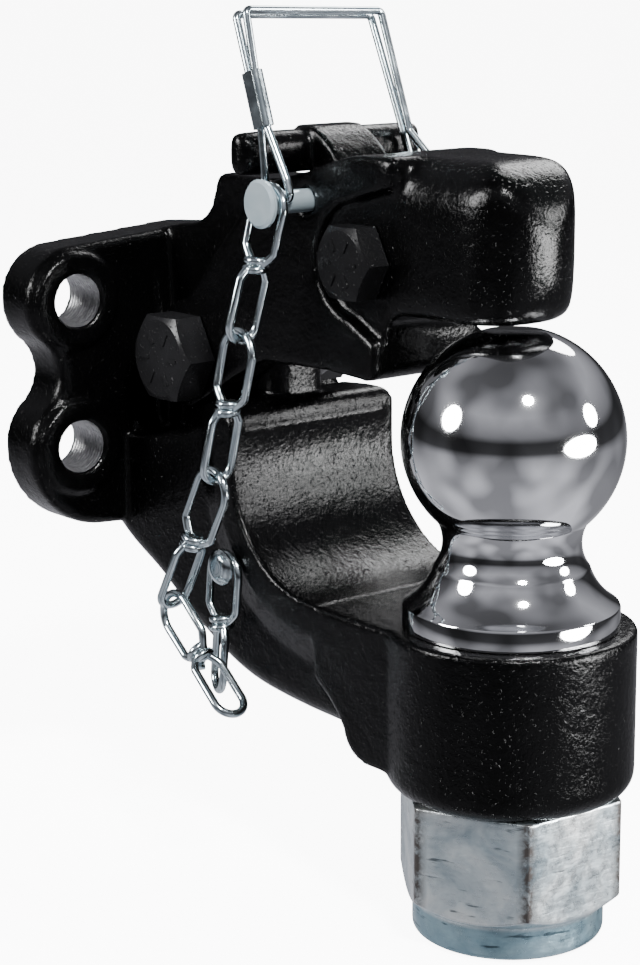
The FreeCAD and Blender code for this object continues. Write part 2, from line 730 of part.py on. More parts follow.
def bail_place():
    """The bail stands on the pin and leans back towards the flange."""
    return Placement(Vector(size_of("pinX"), 0, size_of("pinZ")),
                     Rotation(Vector(0, 1, 0), -BAIL_LEAN))


def bail_ferrule():
    """The folded clip that holds the two wires together."""
    length, wide, deep = 15.0, 6.4, 3.8
    clip = doc.addObject("Part::Box", "FerruleBox")
    clip.Length = wide
    clip.Width = deep
    clip.Height = length
    clip.Placement = Placement(Vector(-wide / 2, -deep / 2, 0), Rotation())
    rounded_clip = rounded("FerruleRounded", clip, 1.6, lambda edge: edge.BoundBox.ZLength > 10)
    cores = [cylinder(f"FerruleBore{i}", "Dimensions.bailWire + 0.12", "30",
                      (side * 1.42, 0, -6), (0, 0, 1)) for i, side in enumerate((-1, 1))]
    clip_cut = cut("BailFerrule", rounded_clip, cores)
    lean = Rotation(Vector(1, 0, 0), math.degrees(math.atan2(0.4, 16)))
    local = Placement(Vector(0, BAIL_NEAR_Y - 0.41, 20.4), lean)
    clip_cut.Placement = bail_place().multiply(local)
    return finish_piece(clip_cut, "bail_ferrule")


# ---------------------------------------------------------------- retaining chain

def wire_loop(crown, foot, side, half_width, radius):
    """A closed long loop of round wire from crown to foot, flat in the plane of side."""
    along = (foot - crown).normalize()
    reach = side * half_width
    upper = crown + along * half_width
    lower = foot - along * half_width
    path = Part.Wire([
        Part.LineSegment(upper + reach, lower + reach).toShape(),
        Part.Arc(lower + reach, foot, lower - reach).toShape(),
        Part.LineSegment(lower - reach, upper - reach).toShape(),
        Part.Arc(upper - reach, crown, upper + reach).toShape(),
    ])
    section = Part.Wire(Part.makeCircle(radius, upper + reach, along))
    return path.makePipeShell([section], True, True)


def chain_link(number, start, end, lower_side=None):
    """One double-loop link: upper loop flat in the XZ plane, lower loop across it."""
    upper_half, lower_half = 6.35, 4.6
    radius = size_of("chainWire")
    along = (end - start).normalize()
    length = (end - start).Length
    across = Vector(0, 1, 0) - along * along.y
    across.normalize()
    flat_side = along.cross(across)
    middle = start + along * (length / 2)
    upper = wire_loop(start, middle + along * 0.6, flat_side, upper_half, radius)
    lower = wire_loop(middle - along * 0.6, end, lower_side or across, lower_half, radius)
    knot = Part.makeCylinder(3.3, 4.8, middle - along * 2.4, along)
    piece = doc.addObject("Part::Feature", f"ChainLink{number}")
    piece.Shape = upper.fuse([lower, knot])
    return finish_piece(piece, f"chain_link_{number}")


CHAIN_HANG = [
    (86.4, -37.5, 18.0),
    (79.1, -41.0, -21.3),
    (60.0, -43.0, -60.0),
    (90.0, -43.0, -84.6),
]
RIVET_LINK_Y = -31.5


def chain():
    """Five links: four from the pin down and round, and one up to the rivet."""
    gap = 2 * size_of("chainWire") + 0.15
    foot = Vector(size_of("pinX"), -31.4, size_of("pinZ"))
    lift = size_of("pinRadius") + size_of("chainWire") + 0.15
    for number, point in enumerate(CHAIN_HANG, start=1):
        end = Vector(*point)
        along = (end - foot).normalize()
        chain_link(number, foot - along * lift, end)
        foot = end
        lift = gap
    rivet = Vector(size_of("rivetX"), RIVET_LINK_Y, size_of("rivetZ"))
    low_end = Vector(68.5, RIVET_LINK_Y - 1.6, -84.8)
    along = (low_end - rivet).normalize()
    lift = size_of("rivetRadius") + size_of("chainWire") + 0.15
    turned = Vector(0.927, -0.375, 0)
    turned = turned - along * along.dot(turned)
    chain_link(5, rivet - along * lift, low_end, turned.normalize())


def chain_rivet():
    """The dome-headed rivet in the side of the forging that the last link hangs on."""
    radius = size_of("rivetRadius")
    face = 1.5 - RIVET_LINK_Y
    body = lathe("ChainRivet", (0, 12),
                 [(radius - 0.02, 12), (radius - 0.02, face), (5.2, face), (5.2, face + 0.4),
                  ((3.9, face + 1.6), (1.6, face + 2.0)), (0, face + 2.0), (0, 12)])
    body.Placement = Placement(Vector(size_of("rivetX"), 0, size_of("rivetZ")),
                               Rotation(Vector(1, 0, 0), 90))
    return finish_piece(body, "chain_rivet")


# ---------------------------------------------------------------- build and write

def build():
    hitch_body()
    upper_jaw()
    latch()
    latch_spring()
    pivot_fasteners()
    hitch_ball()
    ball_nut()
    lock_pin()
    pin_bail()
    bail_ferrule()
    chain()
    chain_rivet()
    doc.recompute()


def check_all():
    failed = [item.Name for item in doc.Objects if {"Invalid", "Error"} & set(item.State)]
    if failed:
        raise RuntimeError(f"failed: {failed}")
    for piece in PIECES:
        if piece.Shape.isNull() or not piece.Shape.isValid():
            raise RuntimeError(f"{piece.Label} has no valid shape")


def write_all():
    os.makedirs("parts", exist_ok=True)
    for piece in PIECES:
        piece.Shape.exportStep(f"parts/{piece.Label}.step")
        print(piece.Label, len(piece.Shape.Solids), round(piece.Shape.Volume, 1))


build()
check_all()
write_all()
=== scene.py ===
import math

import bmesh
import bpy
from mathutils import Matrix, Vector


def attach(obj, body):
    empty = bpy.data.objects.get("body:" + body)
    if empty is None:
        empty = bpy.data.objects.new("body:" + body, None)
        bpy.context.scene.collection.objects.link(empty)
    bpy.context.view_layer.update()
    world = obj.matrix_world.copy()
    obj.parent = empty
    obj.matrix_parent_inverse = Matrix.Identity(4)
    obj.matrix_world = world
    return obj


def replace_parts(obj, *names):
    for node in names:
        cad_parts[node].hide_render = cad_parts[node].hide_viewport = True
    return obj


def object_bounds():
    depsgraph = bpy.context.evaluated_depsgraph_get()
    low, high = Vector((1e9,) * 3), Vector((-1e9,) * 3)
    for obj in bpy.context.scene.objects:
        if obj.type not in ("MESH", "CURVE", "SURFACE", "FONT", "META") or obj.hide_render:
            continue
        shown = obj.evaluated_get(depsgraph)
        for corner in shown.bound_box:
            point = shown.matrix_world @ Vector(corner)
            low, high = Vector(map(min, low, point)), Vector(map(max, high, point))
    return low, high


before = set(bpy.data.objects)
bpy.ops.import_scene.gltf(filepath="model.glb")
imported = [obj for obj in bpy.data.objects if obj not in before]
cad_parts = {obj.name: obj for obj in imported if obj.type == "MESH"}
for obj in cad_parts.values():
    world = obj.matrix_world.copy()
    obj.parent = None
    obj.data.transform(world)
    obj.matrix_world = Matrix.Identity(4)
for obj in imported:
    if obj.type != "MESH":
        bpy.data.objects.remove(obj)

# Bolt-on combination hitch: black powder-coated forgings, a mirror-chrome ball and small
# zinc-plated parts. Blender works in metres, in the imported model's frame: +X towards the ball,
# +Z up. The object's sizes and places are in millimetres, turned into metres by MM. Lamps, bump
# depths, the floor's reach and clip distances are in metres.

MM = 0.001
CAD_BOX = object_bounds()
BALL_AXIS_X = 153.6
HOLE_Y, HOLE_Z = 42.86, 21.43
WHITE_STRENGTH = 9.0


# ---------------------------------------------------------------- node helpers

class Nodes:
    """Short helpers that build one material's node tree."""

    def __init__(self, name):
        self.material = bpy.data.materials.new(name)
        self.material.use_nodes = True
        self.tree = self.material.node_tree
        self.shader = self.tree.nodes["Principled BSDF"]
        self.place = self.add("ShaderNodeTexCoord").outputs["Object"]

    def add(self, kind, **values):
        node = self.tree.nodes.new(kind)
        for key, value in values.items():
            setattr(node, key, value)
        return node

    def link(self, source, target):
        self.tree.links.new(source, target)

    def noise(self, scale, detail=4.0, roughness=0.55, distortion=0.0):
        node = self.add("ShaderNodeTexNoise")
        node.inputs["Scale"].default_value = scale
        node.inputs["Detail"].default_value = detail
        node.inputs["Roughness"].default_value = roughness
        node.inputs["Distortion"].default_value = distortion
        self.link(self.place, node.inputs["Vector"])
        return node.outputs["Fac"]

    def stretched_noise(self, scale, stretch):
        """Noise drawn out along the axes with a small stretch factor."""
        mapping = self.add("ShaderNodeMapping")
        mapping.inputs["Scale"].default_value = stretch
        self.link(self.place, mapping.inputs["Vector"])
        node = self.add("ShaderNodeTexNoise")
        node.inputs["Scale"].default_value = scale
        node.inputs["Detail"].default_value = 5.0
        self.link(mapping.outputs["Vector"], node.inputs["Vector"])
        return node.outputs["Fac"]

    def multiply(self, first, second):
        """Product of two colours or vectors."""
        node = self.add("ShaderNodeVectorMath", operation="MULTIPLY")
        self.link(first, node.inputs[0])
        self.link(second, node.inputs[1])
        return node.outputs["Vector"]

    def remap(self, value, low, high, to_low, to_high):
        """Value stretched from one range to another, and clamped."""
        node = self.add("ShaderNodeMapRange")
        for key, number in (("From Min", low), ("From Max", high),
                            ("To Min", to_low), ("To Max", to_high)):
            node.inputs[key].default_value = number
        self.link(value, node.inputs["Value"])
        return node.outputs["Result"]

    def product(self, first, second):
        """Product of two numbers."""
        node = self.add("ShaderNodeMath", operation="MULTIPLY")
        self.link(first, node.inputs[0])
        self.link(second, node.inputs[1])
        return node.outputs[0]

    def blend(self, share, first, second):
        """From first to second; each is a colour or another node's output."""
        node = self.add("ShaderNodeMix", data_type="RGBA")
        self.link(share, node.inputs[0])
        for socket, colour in ((node.inputs[6], first), (node.inputs[7], second)):
            if isinstance(colour, tuple):
                socket.default_value = (*colour, 1.0)
            else:
                self.link(colour, socket)
        return node.outputs[2]

    def off_axis(self, centre_x):
        """Distance in metres from the upright line at centre_x millimetres."""
        mapping = self.add("ShaderNodeMapping")
        mapping.inputs["Location"].default_value = (-centre_x * MM, 0.0, 0.0)
        mapping.inputs["Scale"].default_value = (1.0, 1.0, 0.0)
        self.link(self.place, mapping.inputs["Vector"])
        node = self.add("ShaderNodeVectorMath", operation="LENGTH")
        self.link(mapping.outputs["Vector"], node.inputs[0])
        return node.outputs["Value"]

    def height(self):
        """Height in metres above the frame's origin."""
        node = self.add("ShaderNodeSeparateXYZ")
        self.link(self.place, node.inputs["Vector"])
        return node.outputs["Z"]

    def ramp(self, value, stops):
        """Colour ramp through stops of (position, colour)."""
        node = self.add("ShaderNodeValToRGB")
        ramp = node.color_ramp
        while len(ramp.elements) < len(stops):
            ramp.elements.new(0.5)
        for element, (at, colour) in zip(ramp.elements, stops):
            element.position = at
            element.color = (*colour, 1.0)
        self.link(value, node.inputs["Fac"])
        return node.outputs["Color"]

    def bump(self, height, strength, distance, base=None):
        node = self.add("ShaderNodeBump")
        node.inputs["Strength"].default_value = strength
        node.inputs["Distance"].default_value = distance
        self.link(height, node.inputs["Height"])
        if base is not None:
            self.link(base, node.inputs["Normal"])
        return node.outputs["Normal"]


def black_coat(name, grain=1.0, gloss=0.13, tone=1.0):
    """Thick black powder coat: orange peel, small flecks and the forging's wrinkles under it."""
    n = Nodes(name)
    peel = n.noise(820, detail=3.0, roughness=0.7, distortion=0.1)
    wrinkle = n.noise(210, detail=5.0, roughness=0.6, distortion=0.3)
    cloud = n.noise(34, detail=3.0)
    # tone scales the base colour; a tone above 1 is painted sheen, as on the bolts and nuts.
    deep, pale = 0.0004 * tone, 0.0012 * tone
    n.link(n.ramp(cloud, [(0.3, (deep, deep, deep * 1.08)), (0.7, (pale, pale, pale * 1.08))]),
           n.shader.inputs["Base Color"])
    n.link(n.remap(peel, 0.3, 0.7, gloss, gloss + 0.07), n.shader.inputs["Roughness"])
    low = n.bump(cloud, 0.40, 0.0018 * grain)
    mid = n.bump(wrinkle, 0.40, 0.00070 * grain, low)
    rough = n.bump(peel, 0.50, 0.00036 * grain, mid)
    flecks = n.remap(n.noise(1100, detail=0.0), 0.70, 0.78, 0.0, 1.0)
    n.link(n.bump(flecks, 0.9, 0.00060 * grain, rough), n.shader.inputs["Normal"])
    n.shader.inputs["Specular IOR Level"].default_value = 0.17
    return n.material


def bare_steel(name):
    """Machined steel inside the flange's bolt holes."""
    n = Nodes(name)
    ring = n.noise(900, detail=3.0)
    n.link(n.ramp(ring, [(0.3, (0.30, 0.30, 0.31)), (0.7, (0.55, 0.55, 0.56))]),
           n.shader.inputs["Base Color"])
    n.shader.inputs["Metallic"].default_value = 1.0
    n.link(n.remap(ring, 0.3, 0.7, 0.28, 0.45), n.shader.inputs["Roughness"])
    ribs = n.add("ShaderNodeTexWave", bands_direction="X")
    ribs.inputs["Scale"].default_value = 240.0
    ribs.inputs["Distortion"].default_value = 0.6
    n.link(n.place, ribs.inputs["Vector"])
    turned = n.bump(ribs.outputs["Fac"], 0.7, 0.0004)
    n.link(n.bump(ring, 0.3, 0.0001, turned), n.shader.inputs["Normal"])
    return n.material


def mirror_chrome(name):
    """Polished chrome with a very faint haze."""
    n = Nodes(name)
    haze = n.noise(60, detail=4.0)
    n.link(n.ramp(haze, [(0.3, (0.80, 0.81, 0.83)), (0.7, (0.88, 0.89, 0.90))]),
           n.shader.inputs["Base Color"])
    n.shader.inputs["Metallic"].default_value = 1.0
    n.link(n.remap(haze, 0.3, 0.7, 0.035, 0.075), n.shader.inputs["Roughness"])
    n.link(n.bump(n.noise(220, detail=2.0), 0.03, 0.0002), n.shader.inputs["Normal"])
    return n.material


def bright_zinc(name, metallic, roughness, pale, deep):
    """Bright zinc plate: bluish silver with faint cloudy grain."""
    n = Nodes(name)
    grain = n.noise(260, detail=5.0, roughness=0.6)
    cloud = n.noise(70, detail=3.0, distortion=0.6)
    n.link(n.ramp(cloud, [(0.25, deep), (0.75, pale)]), n.shader.inputs["Base Color"])
    n.shader.inputs["Metallic"].default_value = metallic
    n.link(n.remap(grain, 0.3, 0.7, roughness, roughness + 0.12), n.shader.inputs["Roughness"])
    n.link(n.bump(grain, 0.18, 0.00012), n.shader.inputs["Normal"])
    return n.material


def worn_zinc(name):
    """Zinc plate on a big nut: stained, scuffed and lightly scratched."""
    n = Nodes(name)
    stain = n.noise(48, detail=6.0, roughness=0.65, distortion=0.8)
    scuff = n.noise(300, detail=6.0, roughness=0.7, distortion=0.3)
    scratch = n.stretched_noise(420, (0.25, 0.25, 1.6))
    tone = n.ramp(stain, [(0.30, (0.28, 0.36, 0.41)), (0.48, (0.58, 0.65, 0.68)),
                          (0.70, (0.86, 0.88, 0.87))])
    marks = n.ramp(scratch, [(0.30, (0.30, 0.31, 0.32)), (0.37, (1.0, 1.0, 1.0))])
    wear_start, wear_full = 30.0 * MM, 31.1 * MM
    collar_low, collar_high = -129.2 * MM, -127.6 * MM
    corner_wear = n.product(n.remap(n.off_axis(BALL_AXIS_X), wear_start, wear_full, 0.0, 1.0),
                            n.remap(scuff, 0.36, 0.56, 0.15, 1.0))
    worn = n.blend(corner_wear, n.multiply(tone, marks), (0.10, 0.09, 0.085))
    collar = n.remap(n.height(), collar_low, collar_high, 1.0, 0.0)
    n.link(n.multiply(worn, n.blend(collar, (1.0, 1.0, 1.0), (0.46, 0.62, 0.70))),
           n.shader.inputs["Base Color"])
    n.shader.inputs["Metallic"].default_value = 0.9
    n.link(n.remap(scuff, 0.3, 0.7, 0.20, 0.46), n.shader.inputs["Roughness"])
    dents = n.bump(scratch, 0.3, 0.0003)
    n.link(n.bump(scuff, 0.25, 0.00015, dents), n.shader.inputs["Normal"])
    return n.material


def plain_plastic(name):
    """Off-white nylon of the lock nut's ring."""
    n = Nodes(name)
    speck = n.noise(400, detail=3.0)
    n.link(n.ramp(speck, [(0.3, (0.62, 0.62, 0.58)), (0.7, (0.70, 0.70, 0.66))]),
           n.shader.inputs["Base Color"])
    n.link(n.remap(speck, 0.3, 0.7, 0.45, 0.6), n.shader.inputs["Roughness"])
    return n.material


def bronze(name):
    """Plain bearing bronze of the bush."""
    n = Nodes(name)
    speck = n.noise(500, detail=3.0)
    n.link(n.ramp(speck, [(0.3, (0.45, 0.28, 0.10)), (0.7, (0.60, 0.40, 0.16))]),
           n.shader.inputs["Base Color"])
    n.shader.inputs["Metallic"].default_value = 1.0
    n.link(n.remap(speck, 0.3, 0.7, 0.3, 0.42), n.shader.inputs["Roughness"])
    return n.material


def studio_floor(name):
    """White floor that gives off its own light, so that it shows almost no shadow."""
    n = Nodes(name)
    speck = n.noise(30, detail=3.0)
    n.link(n.ramp(speck, [(0.3, (0.93, 0.93, 0.93)), (0.7, (0.95, 0.95, 0.95))]),
           n.shader.inputs["Base Color"])
    n.shader.inputs["Roughness"].default_value = 0.9
    n.shader.inputs["Specular IOR Level"].default_value = 0.0
    n.shader.inputs["Emission Color"].default_value = (1.0, 1.0, 1.0, 1.0)
    n.shader.inputs["Emission Strength"].default_value = WHITE_STRENGTH
    return n.material


BLACK = black_coat("black_coat")
JAW_BLACK = black_coat("jaw_black_coat", grain=0.8, gloss=0.12)
# The bolts' and nuts' coat has its base colour lifted nine times: painted sheen.
BOLT_BLACK_PAINTED_SHEEN = black_coat("bolt_black_coat_painted_sheen", grain=0.15, gloss=0.2, tone=9.0)
STEEL = bare_steel("machined_steel")
CHROME = mirror_chrome("ball_chrome")
ZINC = bright_zinc("zinc_plate", 0.6, 0.13, (0.66, 0.77, 0.82), (0.46, 0.58, 0.64))
WIRE_ZINC = bright_zinc("zinc_wire", 1.0, 0.10, (0.74, 0.82, 0.85), (0.46, 0.54, 0.58))
ZINC_NUT = worn_zinc("zinc_nut_plate")
NYLON = plain_plastic("nylon_ring")
BRONZE = bronze("bushing_bronze")


# ---------------------------------------------------------------- carried-over CAD nodes

def node_object(name):
    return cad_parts[name]


def paint(name, material):
    """Puts one material on a carried-over CAD node."""
    node = node_object(name)
    if not node.material_slots:
        node.data.materials.append(material)
    for spot in node.material_slots:
        spot.material = material


# Nodes that a piece below replaces are not listed.
NODE_MATERIALS = {
    "latch_spring": ZINC,
    "jaw_pivot_bolt": BOLT_BLACK_PAINTED_SHEEN,
    "jaw_pivot_nut": BOLT_BLACK_PAINTED_SHEEN,
    "jaw_pivot_bushing": BRONZE,
    "latch_pivot_bolt": BOLT_BLACK_PAINTED_SHEEN,
    "latch_pivot_nut": BOLT_BLACK_PAINTED_SHEEN,
    "ball_nut_insert": NYLON,
    "lock_pin": ZINC,
    "pin_bail": WIRE_ZINC,
    "bail_ferrule": WIRE_ZINC,
    "chain_rivet": WIRE_ZINC,
}
for node_name, node_material in NODE_MATERIALS.items():
    paint(node_name, node_material)


# ---------------------------------------------------------------- forgings with soft edges

def link_object(name, mesh, body):
    """A new piece that rides on a body."""
    piece = bpy.data.objects.new(name, mesh)
    bpy.context.scene.collection.objects.link(piece)
    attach(piece, body)
    return piece


def apply_modifiers(piece):
    """Replaces a piece's mesh with the result of its modifiers."""
    graph = bpy.context.evaluated_depsgraph_get()
    graph.update()
    result = bpy.data.meshes.new_from_object(piece.evaluated_get(graph))
    piece.modifiers.clear()
    piece.data = result


def region_weights(piece, name, weight_at):
    """A vertex group whose weights come from each vertex's place in millimetres."""
    group = piece.vertex_groups.new(name=name)
    for vertex in piece.data.vertices:
        weight = weight_at(vertex.co / MM)
        if weight > 0.01:
            group.add([vertex.index], min(weight, 1.0), "REPLACE")


def smooth(piece, rounds, group=""):
    """Adds a smoothing modifier, over the whole piece or one vertex group."""
    modifier = piece.modifiers.new("soften", "SMOOTH")
    modifier.factor = 0.5
    modifier.iterations = rounds
    modifier.vertex_group = group


def forged(node, body, material, voxel, rounds, regions=()):
    """A forging's skin: the CAD solid remeshed finely, its edges and creases worn round.

    Each region is a number of extra smoothing rounds and the weight that limits where they act.
    """
    skin = node_object(node).data.copy()
    skin.materials.clear()
    piece = link_object(node + "_forging", skin, body)
    remesh = piece.modifiers.new("remesh", "REMESH")
    remesh.mode = "VOXEL"
    remesh.voxel_size = voxel * MM
    remesh.use_smooth_shade = True
    smooth(piece, rounds)
    apply_modifiers(piece)
    for number, (extra, weight_at) in enumerate(regions):
        name = f"region{number}"
        region_weights(piece, name, weight_at)
        smooth(piece, extra, name)
        apply_modifiers(piece)
        piece.vertex_groups.clear()
    for face in piece.data.polygons:
        face.use_smooth = True
    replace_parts(piece, node)
    piece.data.materials.append(material)
    return piece


def paint_bores(piece, material, centres, radius, span):
    """Gives the faces inside holes along X their machined look."""
    steepest = 0.75
    piece.data.materials.append(material)
    slot = len(piece.data.materials) - 1
    for face in piece.data.polygons:
        x, y, z = face.center / MM
        for centre_y, centre_z in centres:
            away = math.hypot(y - centre_y, z - centre_z)
            if away < radius and span[0] < x < span[1] and abs(face.normal.x) < steepest:
                face.material_index = slot


JAW_UNDERSIDE_Z = 10


def nose_weight(place):
    """Grows towards the nose's front."""
    start_x, fade = 122, 14
    return (place.x - start_x) / fade if place.z > JAW_UNDERSIDE_Z else 0.0


def nose_heel_weight(place):
    """Strongest at the nose's lower front edge, gone by mid height."""
    start_x, fade_x = 146, 12
    end_z, fade_z = 44, 10
    if place.z <= JAW_UNDERSIDE_Z:
        return 0.0
    return min((place.x - start_x) / fade_x, (end_z - place.z) / fade_z)


def handle_end_weight(place):
    """Grows towards both ends of the latch's handle."""
    start_y, fade = 24, 6
    return (abs(place.y) - start_y) / fade


HOLES = [(side * HOLE_Y, level * HOLE_Z) for side in (-1, 1) for level in (-1, 1)]
BORE_REACH = 8.2
BORE_SPAN = (1.0, 16.4)
body_skin = forged("hitch_body", "body", BLACK, voxel=0.85, rounds=7)
paint_bores(body_skin, STEEL, HOLES, BORE_REACH, BORE_SPAN)
forged("upper_jaw", "jaw", JAW_BLACK, voxel=0.75, rounds=14,
       regions=[(170, nose_weight), (220, nose_heel_weight)])
forged("latch", "latch_lever", JAW_BLACK, voxel=0.5, rounds=22,
       regions=[(90, handle_end_weight)])
forged("ball_nut", "body", ZINC_NUT, voxel=0.45, rounds=5)


# ---------------------------------------------------------------- turned ball

def arc_through(start, middle, end, steps):
    """Points on the circle through three points, from start to end, without the start."""
    (ax, ay), (bx, by), (cx, cy) = start, middle, end
    twice = 2 * (ax * (by - cy) + bx * (cy - ay) + cx * (ay - by))
    a2, b2, c2 = ax * ax + ay * ay, bx * bx + by * by, cx * cx + cy * cy
    mx = (a2 * (by - cy) + b2 * (cy - ay) + c2 * (ay - by)) / twice
    my = (a2 * (cx - bx) + b2 * (ax - cx) + c2 * (bx - ax)) / twice
    first = math.atan2(ay - my, ax - mx)
    mid = (math.atan2(by - my, bx - mx) - first) % (2 * math.pi)
    last = (math.atan2(cy - my, cx - mx) - first) % (2 * math.pi)
    sweep = last if mid < last else last - 2 * math.pi
    radius = math.hypot(ax - mx, ay - my)
    return [(mx + radius * math.cos(first + sweep * step / steps),
             my + radius * math.sin(first + sweep * step / steps))
            for step in range(1, steps + 1)]


def ball_profile():
    """The ball's half outline (radius, height): flat top, ball, neck, collar and shank."""
    centre, radius = -3.2, 29.37
    flat, join, side = 7.9, 19.8, 26.4
    top = (flat, centre + math.sqrt(radius ** 2 - flat ** 2))
    under = (join, centre - math.sqrt(radius ** 2 - join ** 2))
    outline = [(0.0, top[1]), top]
    outline += arc_through(top, (side, centre + math.sqrt(radius ** 2 - side ** 2)), under, 96)
    outline += arc_through(under, (18.4, under[1] - 4.4), (20.6, -37.0), 24)
    outline += arc_through((20.6, -37.0), (23.6, -42.6), (27.95, -46.6), 20)
    outline += [(28.5, -47.0), (28.75, -47.6), (28.75, -52.6), (28.45, -52.9), (15.88, -52.9),
                (15.88, -134.6), (14.28, -136.2), (0.0, -136.2)]
    return outline


def turned_ball():
    """The ball turned in fine facets, so that its mirror finish has no flats."""
    sides = 224
    sharp_from = math.radians(28)
    outline = ball_profile()
    work = bmesh.new()
    rings = []
    for radius, height in outline:
        if radius == 0.0:
            rings.append([work.verts.new((BALL_AXIS_X * MM, 0.0, height * MM))])
            continue
        turns = (2 * math.pi * side / sides for side in range(sides))
        rings.append([work.verts.new(((BALL_AXIS_X + radius * math.cos(turn)) * MM,
                                      radius * math.sin(turn) * MM, height * MM))
                      for turn in turns])
    for upper, lower in zip(rings, rings[1:]):
        for side in range(sides):
            after = (side + 1) % sides
            corners = [upper[side % len(upper)], lower[side % len(lower)],
                       lower[after % len(lower)], upper[after % len(upper)]]
            work.faces.new(list(dict.fromkeys(corners)))
    bmesh.ops.recalc_face_normals(work, faces=work.faces)
    mesh = bpy.data.meshes.new("ball_turned")
    work.to_mesh(mesh)
    work.free()
    for face in mesh.polygons:
        face.use_smooth = True
    mesh.set_sharp_from_angle(angle=sharp_from)
    mesh.materials.append(CHROME)
    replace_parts(link_object("ball_turned", mesh, "body"), "hitch_ball")


turned_ball()


# ---------------------------------------------------------------- chain links of bent wire

CHAIN_WIRE = 1.15
LOOP_UPPER, LOOP_LOWER = 6.35, 4.6
NECK_LENGTH, NECK_HALF_WIDTH = 7.0, 1.25
LOOP_OVERLAP = 1.8
WRAP_RADIUS, WRAP_TURNS, WRAP_PITCH, WRAP_RISE = 2.55, 1.6, 2.35, 0.3
WRAP_STEPS = 18
PLAY = 0.15
PIN_RADIUS, RIVET_RADIUS = 3.175, 2.5


def wire_curve(points, radius):
    """A round wire along a smooth line through points given in millimetres."""
    data = bpy.data.curves.new("wire", "CURVE")
    data.dimensions = "3D"
    data.bevel_depth = radius * MM
    data.bevel_resolution = 6
    data.use_fill_caps = True
    spline = data.splines.new("POLY")
    spline.points.add(len(points) - 1)
    for spot, point in zip(spline.points, points):
        spot.co = (*(point * MM), 1.0)
    holder = bpy.data.objects.new("wire", data)
    bpy.context.scene.collection.objects.link(holder)
    graph = bpy.context.evaluated_depsgraph_get()
    graph.update()
    mesh = bpy.data.meshes.new_from_object(holder.evaluated_get(graph))
    bpy.data.objects.remove(holder)
    return mesh


def joined(meshes):
    """One mesh from several."""
    work = bmesh.new()
    for mesh in meshes:
        work.from_mesh(mesh)
    whole = bpy.data.meshes.new("joined")
    work.to_mesh(whole)
    work.free()
    for face in whole.polygons:
        face.use_smooth = True
    return whole


def loop_points(crown, foot, side, half_width):
    """A long loop from its crown to a narrowed foot at the link's knot."""
    along = (foot - crown).normalized()
    length = (foot - crown).length
    arc_steps, neck_steps = 32, 10
    left, right, bend = [], [], []
    for step in range(1, neck_steps + 1):
        share = step / neck_steps
        ease = share * share * (3 - 2 * share)
        level = crown + along * (length - NECK_LENGTH * (1 - share))
        reach = side * (half_width + (NECK_HALF_WIDTH - half_width) * ease)
        left.append(level - reach)
        right.append(level + reach)
    for step in range(arc_steps + 1):
        turn = math.pi * step / arc_steps
        bend.append(crown + along * half_width * (1 - math.sin(turn))
                    + side * half_width * math.cos(turn))
    return list(reversed(right)) + bend + left


def wrap_points(centre, along, side):
    """The wire's turns round the knot."""
    across = along.cross(side).normalized()
    steps = int(WRAP_STEPS * WRAP_TURNS)
    points = []
    for step in range(steps + 1):
        turn = 2 * math.pi * step / WRAP_STEPS
        rise = WRAP_PITCH * WRAP_TURNS * (step / steps - 0.5)
        points.append(centre + along * rise + side * WRAP_RADIUS * math.cos(turn)
                      + across * WRAP_RADIUS * math.sin(turn))
    return points


def chain_link(number, body, start, end, lower_side=None):
    """A link bent from one wire: two long loops across each other, wrapped at the middle."""
    along = (end - start).normalized()
    across = (Vector((0, 1, 0)) - along * along.y).normalized()
    flat_side = along.cross(across).normalized()
    low_side = lower_side or across
    middle = (start + end) / 2
    upper = loop_points(start, middle + along * LOOP_OVERLAP, flat_side, LOOP_UPPER)
    lower = loop_points(end, middle - along * LOOP_OVERLAP, low_side, LOOP_LOWER)
    wrap = wrap_points(middle + along * WRAP_RISE, along, flat_side)
    mesh = joined([wire_curve(points, CHAIN_WIRE) for points in (upper, lower, wrap)])
    mesh.materials.append(WIRE_ZINC)
    piece = link_object(f"chain_wire_{number}", mesh, body)
    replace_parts(piece, f"chain_link_{number}")


def chain():
    """Four links from the lock pin down and round, and one up to the rivet."""
    wire_gap = 2 * CHAIN_WIRE + PLAY
    foot = Vector((93.0, -32.0, 55.0))
    lift = PIN_RADIUS + CHAIN_WIRE + PLAY
    hang = [(86.4, -37.5, 18.0), (79.1, -41.0, -21.3), (60.0, -43.0, -60.0), (90.0, -43.0, -84.6)]
    for number, point in enumerate(hang, start=1):
        end = Vector(point)
        along = (end - foot).normalized()
        chain_link(number, f"link_{number}", foot - along * lift, end)
        foot = end
        lift = wire_gap
    rivet = Vector((70.5, -31.5, -48.7))
    low_end = Vector((68.5, -33.1, -84.8))
    along = (low_end - rivet).normalized()
    turned = Vector((0.927, -0.375, 0))
    turned = (turned - along * along.dot(turned)).normalized()
    chain_link(5, "link_5", rivet - along * (RIVET_RADIUS + CHAIN_WIRE + PLAY),
               low_end, turned)


chain()


# ---------------------------------------------------------------- camera, floor and light

# Place, lens and sensor are in millimetres, angles in degrees and clip distances in metres. The
# shifts are shares of the sensor's height.
CAMERA_PLACE = (593.5, -422.4, 123.2)
CAMERA_AZIMUTH, CAMERA_ELEVATION = 49.62, 12.55
LENS, SENSOR_HEIGHT = 89.533679, 36.0
SHIFT_X, SHIFT_Y = -0.053367876, -0.0098445596
CLIP_START, CLIP_END = 0.05, 80.0


